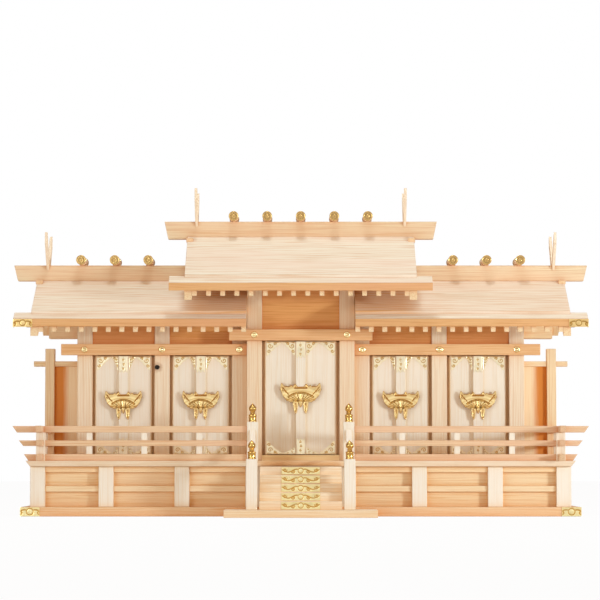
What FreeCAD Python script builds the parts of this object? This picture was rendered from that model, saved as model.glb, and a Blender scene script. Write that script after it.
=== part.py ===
import FreeCAD, Part

import os
import re

import Sketcher

doc = FreeCAD.newDocument("kamidana")

# Driving dimensions in millimetres and degrees. The ridge line lies over y = 0, the front
# of the shrine faces -Y, and the underside of the base board lies on z = 0.
SIZES = {
    # Rooms: posts, doorways and the lines of the walls
    "post_width": 24,
    "centre_opening": 122,
    "wing_opening": 98.4,
    "centre_front": 50,
    "wing_front": 35,
    "room_back": 85,
    "wall_thick": 6,
    "wall_setback": 2,
    "threshold_tall": 9,
    "threshold_deep": 16,
    "wing_door_tall": 155.5,
    "centre_door_tall": 178,
    "door_gap": 1,
    "tie_beam_tall": 17.5,
    "tie_beam_thick": 8,
    "wing_tie_overhang": 25,
    "centre_tie_overhang": 28,
    "stud_radius": 5,
    "stud_tall": 2.2,
    "wall_plate_tall": 12,
    # Base: a board with posts, rails and panels under the floor
    "base_side_margin": 79.2,
    "base_reach": 115,
    "base_board_thick": 14.5,
    "base_side_inset": 14,
    "base_front_inset": 8,
    "base_post_width": 23,
    "base_post_tall": 62.5,
    "base_second_post": 301.5,
    "base_third_post": 184,
    "base_stair_post": 74,
    "base_rail_tall": 9,
    "base_rail_setback": 3,
    "base_rail_thick": 6,
    "base_mid_rail_drop": 30,
    "base_panel_thick": 4,
    "plate_thick": 0.8,
    "base_plate_long": 30,
    # Floor
    "floor_side_setback": 8,
    "floor_overhang": 5,
    "floor_thick": 9,
    "floor_edge_angle": 35,
    # Doors
    "leaf_thick": 6,
    "leaf_side_gap": 4,
    "meeting_gap": 0.5,
    "astragal_width": 15,
    "astragal_thick": 4,
    "astragal_gap": 0.4,
    "pin_radius": 1.5,
    "pin_clearance": 0.05,
    "pin_long": 5,
    "pin_end_gap": 1,
    "wing_lock_half": 30,
    "wing_lock_tall": 46,
    "wing_lock_rise": 55,
    "centre_lock_half": 33,
    "centre_lock_tall": 49,
    "centre_lock_rise": 64,
    "lock_hull_tall": 23,
    "lock_lip_drop": 4,
    "lock_tip_inset": 9,
    "lock_tail_half": 14,
    "lock_thick": 2.5,
    # Roofs
    "wing_pitch_angle": 32,
    "centre_pitch_angle": 34.5,
    "wing_reach": 105,
    "centre_reach": 120,
    "wing_eave_lift": 1.5,
    "centre_eave_lift": 56.5,
    "rear_overhang": 4,
    "wing_gable_overhang": 67.2,
    "centre_gable_overhang": 96,
    "wing_eave_overhang": 26.5,
    "centre_eave_overhang": 24,
    "eave_face": 12.5,
    "eave_step": 13,
    "eave_board_deep": 17,
    "eave_plate_long": 30,
    "roof_board_thick": 5,
    "rafter_width": 7.5,
    "rafter_tall": 10.5,
    "rafter_spacing": 21.6,
    "rafter_setback": 4,
    "soffit_thick": 3,
    "barge_thick": 12,
    "barge_drop": 17,
    # Ridges
    "ridge_thick": 16,
    "ridge_rake": 6,
    "ridge_overhang": 37,
    "wing_ridge_sink": 4.4,
    "wing_ridge_tall": 24.7,
    "centre_ridge_sink": 9,
    "centre_ridge_tall": 27.8,
    "saddle_tall": 6,
    "saddle_long": 11,
    "saddle_lip": 1.5,
    "finial_thick": 4.4,
    "finial_width": 18,
    "finial_reach": 38,
    "finial_angle": 53.7,
    "finial_sink": 19,
    "wing_finial_inset": 17,
    "centre_finial_inset": 14.5,
    "log_radius": 7.25,
    "log_spacing": 53.5,
    "log_long": 50,
    "wing_log_place": 242.6,
    "cap_long": 3,
    "cap_lip": 0.5,
    # Railing
    "rail_setback": 9,
    "side_rail_setback": 23,
    "rail_thick": 9,
    "low_rail_under": 0,
    "low_rail_tall": 10,
    "low_rail_overhang": 26,
    "mid_rail_under": 22.6,
    "mid_rail_tall": 8.7,
    "mid_rail_overhang": 34,
    "top_rail_under": 43.5,
    "top_rail_tall": 10,
    "top_rail_overhang": 44,
    "rail_rake": 7,
    "strut_width": 9,
    "strut_thick": 6,
    "first_strut": 157,
    "strut_spacing": 85,
    "corner_post_width": 14,
    # Side screens
    "screen_line": 20,
    "screen_post_width": 15,
    "screen_post_tall": 179,
    "screen_cap_under": 150.6,
    "screen_cap_tall": 8.4,
    "screen_cap_thick": 12,
    "screen_cap_overhang": 26,
    "screen_panel_thick": 5,
    # Stair
    "stair_half": 63,
    "steps_count": 5,
    "step_deep": 13,
    "top_tread_deep": 17,
    "stair_board_half": 116.6,
    "stair_board_thick": 11.5,
    "stair_board_margin": 16,
    "riser_plate_half": 29.5,
    "riser_plate_margin": 1,
    "newel_place": 74.5,
    "newel_width": 17,
    "upper_newel_tall": 60,
    "lower_newel_tall": 77,
    "lower_newel_margin": 9,
    "handrail_drop": 12,
    "onion_tall": 29,
    "onion_radius": 6.8,
    "onion_belly_rise": 14,
    "onion_shoulder_rise": 21,
    "onion_shoulder_radius": 4.6,
    "onion_foot_radius": 5.6,
    "onion_foot_tall": 4,
    "onion_neck_radius": 3.8,
    "onion_neck_rise": 7,
}

sheet = doc.addObject("Spreadsheet::Sheet", "Sizes")
for row, (alias, value) in enumerate(SIZES.items(), 1):
    sheet.set(f"A{row}", alias)
    sheet.set(f"B{row}", str(value))
    sheet.setAlias(f"B{row}", alias)
doc.recompute()

# Places worked out from the driving dimensions, as expressions
CENTRE_INNER = "(centre_opening / 2)"
CENTRE_OUTER = f"({CENTRE_INNER} + post_width)"
MIDDLE_INNER = f"({CENTRE_OUTER} + post_width + wing_opening)"
OUTER_INNER = f"({MIDDLE_INNER} + post_width + wing_opening)"
WING_OUTER = f"({OUTER_INNER} + post_width)"
BASE_HALF = f"({WING_OUTER} + base_side_margin)"
BASE_TOP = "(base_board_thick + base_post_tall)"
BASE_FACE_X = f"({BASE_HALF} - base_side_inset)"
BASE_FACE_Y = "(base_reach - base_front_inset)"
FLOOR_TOP = f"({BASE_TOP} + floor_thick)"
FLOOR_HALF = f"({BASE_HALF} - floor_side_setback)"
FLOOR_REACH = "(base_reach + floor_overhang)"
SILL_TOP = f"({FLOOR_TOP} + threshold_tall)"
WING_LINTEL = f"({SILL_TOP} + wing_door_tall + 2 * door_gap)"
CENTRE_LINTEL = f"({SILL_TOP} + centre_door_tall + 2 * door_gap)"
RAIL_LINE = f"({FLOOR_REACH} - rail_setback)"
SIDE_RAIL_LINE = f"({FLOOR_HALF} - side_rail_setback)"
STAIR_FRONT = "(base_reach + top_tread_deep + (steps_count - 1) * step_deep)"
LOWER_NEWEL_LINE = f"({STAIR_FRONT} - lower_newel_margin)"

SIDE_WORDS = {-1: "left", 0: "middle", 1: "right"}
FRONT, REAR = "0 - ", ""

parts = {}


def bound(text):
    """Point each size named in an expression at its cell in the sheet."""
    def cell(name):
        return ("Sizes." if name.group() in SIZES else "") + name.group()
    return re.sub(r"[a-z][a-z_0-9]*", cell, text)


def sheet_value(text):
    """The number that an expression comes to."""
    return float(sheet.evalExpression(bound(text)))


def minus(text):
    """The expression with its sign turned."""
    return f"(0 - ({text}))"


def place_at(thing, x, y, z):
    """Tie the place of a piece to three expressions."""
    for axis, text in zip("xyz", (x, y, z)):
        thing.setExpression(f"Placement.Base.{axis}", bound(text))


def box(name, x, y, z):
    """A box between two expressions along each axis."""
    solid = doc.addObject("Part::Box", name)
    for side, (low, high) in zip(("Length", "Width", "Height"), (x, y, z)):
        solid.setExpression(side, bound(f"({high}) - ({low})"))
    place_at(solid, x[0], y[0], z[0])
    return solid


def flip(span, side):
    """A span of expressions, turned to the other side of the middle for side -1."""
    low, high = span
    return (low, high) if side > 0 else (minus(high), minus(low))


def both_sides(name, x, y, z):
    """A box on each side of the middle plane."""
    return [box(f"{name}_{SIDE_WORDS[side]}", flip(x, side), y, z) for side in (-1, 1)]


def mirrored(name, solid, normal=(1, 0, 0)):
    """The same piece on the other side of a middle plane."""
    twin = doc.addObject("Part::Mirroring", name)
    twin.Source = solid
    twin.Normal = normal
    return twin


def cut(name, solid, *tools):
    """A piece notched for the pieces that pass through it."""
    for number, tool in enumerate(tools):
        notched = doc.addObject("Part::Cut", f"{name}_{number}")
        notched.Base = solid
        notched.Tool = tool
        solid = notched
    return solid


def group(name, solids):
    """Like pieces that don't touch, under one name."""
    whole = doc.addObject("Part::Compound", name)
    whole.Links = solids
    return whole


def keep(name, thing):
    """Name a sub-part; a list becomes one group of like pieces."""
    if isinstance(thing, list):
        thing = group(name, thing)
    thing.Label = name
    parts[name] = thing
    return thing


def plane_of(body, role):
    return next(plane for plane in body.Origin.OriginFeatures if plane.Role == role)


def outline(body, role, name, points, offset="0"):
    """A closed sketch of straight edges, each corner tied to its two expressions."""
    sketch = body.newObject("Sketcher::SketchObject", name)
    sketch.AttachmentSupport = [(plane_of(body, role), "")]
    sketch.MapMode = "FlatFace"
    sketch.setExpression("AttachmentOffset.Base.z", bound(offset))
    places = [FreeCAD.Vector(sheet_value(across), sheet_value(up), 0) for across, up in points]
    count = len(points)
    for number in range(count):
        sketch.addGeometry(Part.LineSegment(places[number], places[(number + 1) % count]), False)
    for number in range(count):
        sketch.addConstraint(Sketcher.Constraint("Coincident", number, 2, (number + 1) % count, 1))
    for number, (across, up) in enumerate(points):
        for kind, text in (("DistanceX", across), ("DistanceY", up)):
            index = sketch.addConstraint(Sketcher.Constraint(kind, -1, 1, number, 1, sheet_value(text)))
            sketch.setExpression(f"Constraints[{index}]", bound(text))
    return sketch


def prism(name, role, points, start, length):
    """A straight-edged profile on one of the origin planes, padded from start."""
    body = doc.addObject("PartDesign::Body", name)
    sketch = outline(body, role, name + "_outline", points, start)
    pad = body.newObject("PartDesign::Pad", name + "_pad")
    pad.Profile = sketch
    pad.setExpression("Length", bound(length))
    return body


def along_x(name, points, x):
    """A profile in y and z, padded between two places along x."""
    return prism(name, "YZ_Plane", points, x[0], f"({x[1]}) - ({x[0]})")


def many_sided(name, sides, radius, length, place, turn):
    """A regular bar along y, for a small round piece; turn is its direction, 1 to the rear."""
    bar = doc.addObject("Part::Prism", name)
    bar.Polygon = sides
    bar.setExpression("Circumradius", bound(radius))
    bar.setExpression("Height", bound(length))
    bar.Placement.Rotation = FreeCAD.Rotation(FreeCAD.Vector(1, 0, 0), -90 * turn)
    place_at(bar, *place)
    return bar


def upright(name, place, radius, tall):
    """An upright round pin, or the tool for its hole."""
    pin = doc.addObject("Part::Cylinder", name)
    pin.setExpression("Radius", bound(radius))
    pin.setExpression("Height", bound(tall))
    place_at(pin, *place)
    return pin


def base():
    """The board that the shrine stands on, and the posts, rails and panels under its floor."""
    board = box("board", (minus(BASE_HALF), BASE_HALF), (minus("base_reach"), "base_reach"),
                ("0", "base_board_thick"))
    keep("base_board", board)
    height = ("base_board_thick", BASE_TOP)
    width = "base_post_width"
    corner = (f"{BASE_FACE_X} - {width}", BASE_FACE_X)
    rows = [corner] + [(f"{place} - {width} / 2", f"{place} + {width} / 2")
                       for place in ("base_second_post", "base_third_post", "base_stair_post")]
    posts = []
    front = (minus(BASE_FACE_Y), f"{width} - {BASE_FACE_Y}")
    rear = (f"{BASE_FACE_Y} - {width}", BASE_FACE_Y)
    for number, span in enumerate(rows):
        posts += both_sides(f"base_post_front_{number}", span, front, height)
        posts += both_sides(f"base_post_rear_{number}", span, rear, height)
    posts += both_sides("base_post_side", corner, (f"0 - {width} / 2", f"{width} / 2"), height)
    posts = keep("base_posts", posts)
    rails = []
    middle_top = f"({BASE_TOP} - base_mid_rail_drop)"
    for name, top in (("top_rail", BASE_TOP), ("middle_rail", middle_top)):
        ring = base_ring(name, "base_rail_setback", "base_rail_thick", (f"{top} - base_rail_tall", top))
        rails.append(cut(name + "_between", ring, posts))
    keep("base_rails", rails)
    ring = base_ring("panel", "(base_rail_setback + base_rail_thick)", "base_panel_thick", height)
    keep("base_panels", cut("panel_between", ring, posts))
    wraps = []
    for side in (-1, 1):
        for end in (-1, 1):
            name = f"base_plate_{SIDE_WORDS[side]}_{SIDE_WORDS[end]}"
            x = flip((f"{BASE_HALF} - base_plate_long", f"{BASE_HALF} + plate_thick"), side)
            y = flip(("base_reach - base_plate_long", "base_reach + plate_thick"), end)
            wraps.append(cut(name + "_wrap", box(name, x, y, ("0", "base_board_thick")), board))
    keep("base_corner_plates", wraps)


def base_ring(name, setback, thick, z):
    """A frame round the base, set back from the faces of the posts."""
    out_x, out_y = f"({BASE_FACE_X} - {setback})", f"({BASE_FACE_Y} - {setback})"
    in_x, in_y = f"({out_x} - {thick})", f"({out_y} - {thick})"
    outer = box(name + "_outer", (minus(out_x), out_x), (minus(out_y), out_y), z)
    inner = box(name + "_inner", (minus(in_x), in_x), (minus(in_y), in_y), z)
    return cut(name + "_ring", outer, inner)


def floor():
    """The floor board, its edges tapering in towards the base."""
    body = doc.addObject("PartDesign::Body", "floor")
    corners = [(minus(FLOOR_HALF), minus(FLOOR_REACH)), (FLOOR_HALF, minus(FLOOR_REACH)),
               (FLOOR_HALF, FLOOR_REACH), (minus(FLOOR_HALF), FLOOR_REACH)]
    sketch = outline(body, "XY_Plane", "floor_outline", corners, FLOOR_TOP)
    pad = body.newObject("PartDesign::Pad", "floor_pad")
    pad.Profile = sketch
    pad.Reversed = True
    pad.setExpression("Length", bound("floor_thick"))
    pad.setExpression("TaperAngle", bound("0 - floor_edge_angle"))
    keep("floor_board", body)


def roof_line(unit, drop):
    """How high a line under the roof board lies at a distance out from the ridge.

    Both front eaves are set by the top of the centre's tie beam, which passes under the wing eaves.
    """
    eave = f"{CENTRE_LINTEL} + tie_beam_tall + {unit}_eave_lift + eave_face"
    return lambda out: f"({eave} - {drop} + ({unit}_reach - ({out})) * tan({unit}_pitch_angle))"


def board_under(unit):
    return roof_line(unit, "0")


def board_top(unit):
    return roof_line(unit, "(0 - roof_board_thick)")


def eave_under(unit):
    return roof_line(unit, "eave_face")


def rafter_under(unit):
    return roof_line(unit, "(eave_face + rafter_tall)")


def reach(unit, sign):
    """How far an eave stands out from the ridge; the rear ones end just past the back wall."""
    return f"{unit}_reach" if sign == FRONT else "(room_back + rear_overhang)"


def slope(name, sign, near, far, low, high, x):
    """A sloping slab between two roof lines, in front of the ridge or behind it."""
    points = [(f"{sign}({far})", low(far)), (f"{sign}({far})", high(far)),
              (f"{sign}({near})", high(near)), (f"{sign}({near})", low(near))]
    return along_x(name, points, x)


def gable(unit):
    """The side edge of a roof."""
    outer_post = WING_OUTER if unit == "wing" else CENTRE_OUTER
    return f"({outer_post} + {unit}_gable_overhang)"


def wing_and_centre(more):
    """The spans along x of a roof piece that ends past (or short of) the side of the roof."""
    spans = []
    for unit, side in (("wing", -1), ("centre", 0), ("wing", 1)):
        end = f"({gable(unit)} + {more(unit)})"
        span = (minus(end), end) if side == 0 else flip((CENTRE_OUTER, end), side)
        spans.append((unit, f"{unit}_{SIDE_WORDS[side]}", span))
    return spans


def roof_spans():
    return wing_and_centre(lambda unit: "0")


def spans_inside():
    """The spans between the bargeboards, or from the centre room to a wing's bargeboard."""
    return wing_and_centre(lambda unit: "(0 - barge_thick)")


def roofs():
    """Roof boards on eave boards, with gilt plates on the outer ends of the eaves."""
    eaves, plates = [], []
    for word, sign in (("front", FRONT), ("rear", REAR)):
        boards = {"wing": [], "centre": []}
        for unit, name, x in roof_spans():
            boards[unit].append(slope(f"{name}_roof_{word}", sign, "0", f"{reach(unit, sign)} - eave_step",
                                      board_under(unit), board_top(unit), x))
        for unit, pieces in boards.items():
            keep(f"{unit}_roof_{word}", pieces)
        for unit, name, x in wing_and_centre(lambda unit: f"{unit}_eave_overhang"):
            near = f"{reach(unit, sign)} - eave_board_deep"
            eaves.append(slope(f"{name}_eave_{word}", sign, near, reach(unit, sign),
                               eave_under(unit), board_under(unit), x))
        end, far = f"({gable('wing')} + wing_eave_overhang)", reach("wing", sign)
        stock = slope(f"eave_plate_{word}", sign, f"{far} - eave_step", f"{far} + plate_thick",
                      eave_under("wing"), board_under("wing"),
                      (f"{end} - eave_plate_long", f"{end} + plate_thick"))
        plates.append(stock)
    eaves = keep("eave_boards", eaves)
    right = [cut(f"eave_plate_wrap_{number}", stock, eaves) for number, stock in enumerate(plates)]
    left = [mirrored(f"eave_plate_twin_{number}", plate) for number, plate in enumerate(right)]
    keep("eave_end_plates", right + left)


def bargeboards():
    """Boards along the gable edges, notched for the eave boards."""
    barges = []
    for unit in ("wing", "centre"):
        low, high = roof_line(unit, "(eave_face + barge_drop)"), board_under(unit)
        front, rear = (f"({reach(unit, sign)} - rafter_setback)" for sign in (FRONT, REAR))
        points = [(minus(front), low(front)), (minus(front), high(front)), ("0", high("0")),
                  (rear, high(rear)), (rear, low(rear)), ("0", low("0"))]
        board = along_x(f"{unit}_barge", points, (f"{gable(unit)} - barge_thick", gable(unit)))
        notched = cut(f"{unit}_barge_notched", board, parts["eave_boards"])
        barges += [notched, mirrored(f"{unit}_barge_twin", notched)]
    keep("bargeboards", barges)


def rafter_comb(name, unit, sign, x):
    """The boarding under a roof with its row of rafters, evenly spaced."""
    top, below = eave_under(unit), rafter_under(unit)
    above = roof_line(unit, "(eave_face - soffit_thick)")
    far, tip = f"({reach(unit, sign)} - eave_board_deep)", f"({reach(unit, sign)} - rafter_setback)"
    body = slope(name, sign, "0", far, top, above, x)
    points = [(f"{sign}{tip}", below(tip)), (f"{sign}{tip}", top(tip)), (f"{sign}0", top("0")),
              (f"{sign}0", below("0"))]
    sketch = outline(body, "YZ_Plane", name + "_bar", points, x[0])
    pad = body.newObject("PartDesign::Pad", name + "_bars")
    pad.Profile = sketch
    pad.setExpression("Length", bound("rafter_width"))
    run = f"({x[1]}) - ({x[0]}) - rafter_width"
    row = body.newObject("PartDesign::LinearPattern", name + "_row")
    row.Originals = [pad]
    row.Direction = (sketch, ["N_Axis"])
    row.setExpression("Length", bound(run))
    row.Occurrences = round(sheet_value(run) / sheet_value("rafter_spacing")) + 1
    body.Tip = row
    return body


def rafters():
    for word, sign in (("front", FRONT), ("rear", REAR)):
        keep(f"rafters_{word}", [rafter_comb(f"{name}_rafters_{word}", unit, sign, x)
                                 for unit, name, x in spans_inside()])


def ridge_under(unit):
    """The underside of a ridge board, a little below the peak of the roof boards."""
    return f"({board_top(unit)('0')} - {unit}_ridge_sink)"


def ridge_top(unit):
    return f"({ridge_under(unit)} + {unit}_ridge_tall)"


def ridges():
    """Ridge boards seated on the roof, and the small saddle blocks under their ends."""
    boards, saddles = [], []
    half_thick = "ridge_thick / 2"
    for unit, name, x in roof_spans():
        reach, high = f"{unit}_reach", board_top(unit)
        corners = [(minus(reach), high(reach)), ("0", high("0")), (reach, high(reach))]
        seat = along_x(name + "_ridge_seat", corners, x)
        end = f"({gable(unit)} + ridge_overhang)"
        under, top = ridge_under(unit), ridge_top(unit)
        inner = [(CENTRE_OUTER, under), (CENTRE_OUTER, top)]
        if unit == "centre":
            inner = [(minus(f"{end} - ridge_rake"), under), (minus(end), top)]
        points = [inner[0], (f"{end} - ridge_rake", under), (end, top), inner[1]]
        if name == "wing_left":
            points = [(minus(across), up) for across, up in points]
        stock = prism(name + "_ridge", "XZ_Plane", points, f"0 - {half_thick}", "ridge_thick")
        boards.append(cut(name + "_ridge_seated", stock, seat))
        if name != "wing_left":
            half = f"(({high('0')} - {under} + saddle_tall) / tan({unit}_pitch_angle))"
            lip = f"({gable(unit)} + saddle_lip)"
            block = box(f"{unit}_saddle", (f"{lip} - saddle_long", lip), (minus(half), half),
                        (f"{under} - saddle_tall", under))
            seated = cut(f"{unit}_saddle_seated", block, seat, parts["bargeboards"])
            saddles += [seated, mirrored(f"{unit}_saddle_twin", seated)]
    keep("ridge_boards", boards)
    keep("ridge_saddles", saddles)


def ridge_finials():
    """Slats rising forward and back from both ends of each ridge, let into the ridge board."""
    prongs = []
    for unit in ("wing", "centre"):
        place = f"({gable(unit)} - {unit}_finial_inset)"
        foot = f"({ridge_top(unit)} - finial_sink)"
        lift = "finial_reach * tan(finial_angle)"
        points = [("0", foot), ("0 - finial_reach", f"{foot} + {lift}"),
                  ("0 - finial_reach", f"{foot} + {lift} + finial_width"), ("0", f"{foot} + finial_width")]
        x = (f"{place} - finial_thick / 2", f"{place} + finial_thick / 2")
        slat = along_x(f"{unit}_prong", points, x)
        front = cut(f"{unit}_prong_seated", slat, parts["ridge_boards"], parts[f"{unit}_roof_front"])
        rear = mirrored(f"{unit}_prong_rear", front, (0, 1, 0))
        prongs += [front, rear, mirrored(f"{unit}_prong_front_twin", front),
                   mirrored(f"{unit}_prong_rear_twin", rear)]
    keep("ridge_finials", prongs)


def ridge_logs():
    """Round logs lying across the ridges, with a gilt cap on each end."""
    places = [("centre", f"{number} * log_spacing") for number in (-2, -1, 0, 1, 2)]
    for number in range(3):
        place = f"(wing_log_place + {number} * log_spacing)"
        places += [("wing", place), ("wing", minus(place))]
    logs, caps = [], []
    for number, (unit, x) in enumerate(places):
        z = f"({ridge_top(unit)} + log_radius)"
        half = "log_long / 2"
        start = (x, f"0 - {half}", z)
        logs.append(many_sided(f"log_{number}", 16, "log_radius", "log_long", start, 1))
        for word, sign, turn in (("front", FRONT, -1), ("rear", REAR, 1)):
            caps.append(many_sided(f"log_{number}_{word}_cap", 12, "log_radius + cap_lip", "cap_long",
                                   (x, f"{sign}{half}", z), turn))
    keep("ridge_logs", logs)
    keep("log_caps", caps)


def plate_under(unit, out):
    """The underside of the wall plate that carries the rafters."""
    return f"({rafter_under(unit)(out)} - wall_plate_tall)"


def wing_post_spans():
    return [(inner, f"{inner} + post_width") for inner in (CENTRE_OUTER, MIDDLE_INNER, OUTER_INNER)]


def wall_frame():
    """Posts from the floor to the wall plates, and the plates under the rafters."""
    wing_y = ("0 - wing_front", "post_width - wing_front")
    centre_y = ("0 - centre_front", "post_width - centre_front")
    rear_y = ("room_back - post_width", "room_back")
    wing_rear, centre_rear = plate_under("wing", "room_back"), plate_under("centre", "room_back")
    posts = []
    for number, x in enumerate(wing_post_spans()):
        posts += both_sides(f"wing_post_{number}", x, wing_y, (FLOOR_TOP, plate_under("wing", "wing_front")))
    posts += both_sides("wing_rear_post", wing_post_spans()[2], rear_y, (FLOOR_TOP, wing_rear))
    keep("wing_posts", posts)
    x = (CENTRE_INNER, CENTRE_OUTER)
    posts = both_sides("centre_post", x, centre_y, (FLOOR_TOP, plate_under("centre", "centre_front")))
    posts += both_sides("centre_rear_post", x, rear_y, (FLOOR_TOP, centre_rear))
    keep("centre_posts", posts)
    plates = []
    for unit, name, x in spans_inside():
        for word, out, sign in (("front", f"{unit}_front", FRONT), ("rear", "room_back", REAR)):
            back = f"({out} - post_width)"
            under, top = plate_under(unit, out), rafter_under(unit)
            points = [(f"{sign}{out}", under), (f"{sign}{out}", top(out)),
                      (f"{sign}{back}", top(back)), (f"{sign}{back}", under)]
            plates.append(along_x(f"{name}_plate_{word}", points, x))
    keep("wall_plates", plates)


def tie_beams():
    """Beams across the faces of the posts, with a gilt stud at each post."""
    wing_z = (WING_LINTEL, f"{WING_LINTEL} + tie_beam_tall")
    centre_z = (CENTRE_LINTEL, f"{CENTRE_LINTEL} + tie_beam_tall")
    ties = both_sides("wing_tie", (CENTRE_OUTER, f"{WING_OUTER} + wing_tie_overhang"),
                      ("0 - wing_front - tie_beam_thick", "0 - wing_front"), wing_z)
    half = f"({CENTRE_OUTER} + centre_tie_overhang)"
    ties.append(box("centre_tie", (minus(half), half),
                    ("0 - centre_front - tie_beam_thick", "0 - centre_front"), centre_z))
    keep("tie_beams", ties)
    spans = [("wing", inner, WING_LINTEL) for inner in (CENTRE_OUTER, MIDDLE_INNER, OUTER_INNER)]
    spans.append(("centre", CENTRE_INNER, CENTRE_LINTEL))
    studs = []
    for number, (unit, inner, lintel) in enumerate(spans):
        place = (f"{inner} + post_width / 2", f"0 - {unit}_front - tie_beam_thick",
                 f"{lintel} + tie_beam_tall / 2")
        stud = many_sided(f"stud_{number}", 12, "stud_radius", "stud_tall", place, -1)
        studs += [stud, mirrored(f"stud_twin_{number}", stud)]
    keep("beam_studs", studs)


def wall_boards():
    """The boards over the doorways, at the sides of the rooms and across the back."""
    uppers = []
    for number, (low, high) in enumerate(((f"{CENTRE_OUTER} + post_width", MIDDLE_INNER),
                                          (f"{MIDDLE_INNER} + post_width", OUTER_INNER))):
        uppers += both_sides(f"wing_upper_{number}", (low, high),
                             ("wall_setback - wing_front", "wall_setback + wall_thick - wing_front"),
                             (f"{WING_LINTEL} + tie_beam_tall", plate_under("wing", "wing_front")))
    uppers.append(box("centre_upper", (minus(CENTRE_INNER), CENTRE_INNER),
                      ("wall_setback - centre_front", "wall_setback + wall_thick - centre_front"),
                      (f"{CENTRE_LINTEL} + tie_beam_tall", plate_under("centre", "centre_front"))))
    keep("upper_walls", uppers)
    sides = []
    for unit, face in (("wing", f"({WING_OUTER} - wall_setback)"), ("centre", CENTRE_OUTER)):
        top = rafter_under(unit)
        front, back = f"({unit}_front - post_width)", "(room_back - post_width)"
        points = [(minus(front), FLOOR_TOP), (minus(front), top(front)), ("0", top("0")),
                  (back, top(back)), (back, FLOOR_TOP)]
        wall = along_x(f"{unit}_side_wall", points, (f"{face} - wall_thick", face))
        sides += [wall, mirrored(f"{unit}_side_wall_twin", wall)]
    keep("side_walls", sides)
    y = ("room_back - wall_setback - wall_thick", "room_back - wall_setback")
    wing_z = (FLOOR_TOP, plate_under("wing", "room_back"))
    centre_z = (FLOOR_TOP, plate_under("centre", "room_back"))
    backs = both_sides("wing_back", (CENTRE_OUTER, OUTER_INNER), y, wing_z)
    backs.append(box("centre_back", (minus(CENTRE_INNER), CENTRE_INNER), y, centre_z))
    keep("back_walls", backs)


def doorways():
    """Each doorway: its name, roof unit and the faces of the posts beside it."""
    outer = (f"{MIDDLE_INNER} + post_width", OUTER_INNER)
    inner = (f"{CENTRE_OUTER} + post_width", MIDDLE_INNER)
    centre = (minus(CENTRE_INNER), CENTRE_INNER)
    return (("left_outer", "wing", flip(outer, -1)), ("left_inner", "wing", flip(inner, -1)),
            ("centre", "centre", centre), ("right_inner", "wing", inner), ("right_outer", "wing", outer))


def doors():
    """Five pairs of leaves on pivot pins between threshold and lintel, with a lock plate each."""
    thresholds, lintels = [], []
    inset = "(leaf_side_gap + leaf_thick / 2)"
    hole, deep = "(pin_radius + pin_clearance)", "(pin_long + pin_end_gap)"
    for door, unit, (low, high) in doorways():
        head_under = WING_LINTEL if unit == "wing" else CENTRE_LINTEL
        y = (f"0 - {unit}_front", f"threshold_deep - {unit}_front")
        axis_y = f"(threshold_deep / 2 - {unit}_front)"
        sill = box(f"{door}_sill", (low, high), y, (FLOOR_TOP, SILL_TOP))
        head = box(f"{door}_head", (low, high), y, (head_under, f"{head_under} + tie_beam_tall"))
        for side, x in ((-1, f"({low} + {inset})"), (1, f"({high} - {inset})")):
            word = SIDE_WORDS[side]
            low_hole = upright(f"{door}_{word}_low_hole", (x, axis_y, f"{SILL_TOP} - {deep}"), hole, deep)
            high_hole = upright(f"{door}_{word}_high_hole", (x, axis_y, head_under), hole, deep)
            sill = cut(f"{door}_sill_{word}", sill, low_hole)
            head = cut(f"{door}_head_{word}", head, high_hole)
            leaf(f"{door}_door_{word}_leaf", side, unit, x, axis_y, f"(({low}) + ({high})) / 2")
        thresholds.append(sill)
        lintels.append(head)
        lock(f"{door}_lock", unit, axis_y, f"(({low}) + ({high})) / 2")
    keep("thresholds", thresholds)
    keep("lintels", lintels)


def leaf(name, side, unit, x, axis_y, middle):
    """A door leaf with a rounded hinge edge and a pin at its foot and head."""
    tall, foot = f"{unit}_door_tall", f"({SILL_TOP} + door_gap)"
    z = (foot, f"{foot} + {tall}")
    meeting = f"({middle} + {side} * meeting_gap / 2)"
    span = (x, meeting) if side < 0 else (meeting, x)
    front, back = f"({axis_y} - leaf_thick / 2)", f"({axis_y} + leaf_thick / 2)"
    pieces = [box(name + "_board", span, (front, back), z),
              upright(name + "_edge", (x, axis_y, foot), "leaf_thick / 2", tall),
              upright(name + "_pin", (x, axis_y, f"{SILL_TOP} - pin_long"), "pin_radius",
                      f"{tall} + 2 * door_gap + 2 * pin_long")]
    if side > 0:
        strip_edge = f"({middle} + astragal_width / 2)"
        strip_back = f"({front} - astragal_gap)"
        pieces += [box(name + "_strip", (f"{middle} - astragal_width / 2", strip_edge),
                       (f"{strip_back} - astragal_thick", strip_back), z),
                   box(name + "_root", (meeting, strip_edge), (strip_back, front), z)]
    whole = doc.addObject("Part::MultiFuse", name)
    whole.Shapes = pieces
    whole.Refine = True
    keep(name, whole)


def lock(name, unit, axis_y, middle):
    """The boat-shaped lock plate with its tail, over the meeting edge."""
    half, rise = f"{unit}_lock_half", f"({SILL_TOP} + {unit}_lock_rise)"
    top = f"({rise} + {unit}_lock_tall)"
    bilge, keel = f"{top} - lock_hull_tall / 2", f"{top} - lock_hull_tall"
    flank = f"({half} - lock_tip_inset / 2)"
    right = [(half, top), (flank, bilge), ("lock_tail_half + lock_tip_inset", keel), ("lock_tail_half", rise)]
    right = [(f"{half} - lock_tip_inset", f"{top} - lock_lip_drop")] + right
    points = [(f"{middle} + ({across})", up) for across, up in right]
    points += [(f"{middle} - ({across})", up) for across, up in reversed(right)]
    back = f"({axis_y} - leaf_thick / 2 - astragal_gap - astragal_thick)"
    keep(name, prism(name, "XZ_Plane", points, f"0 - {back}", "lock_thick"))


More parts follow.
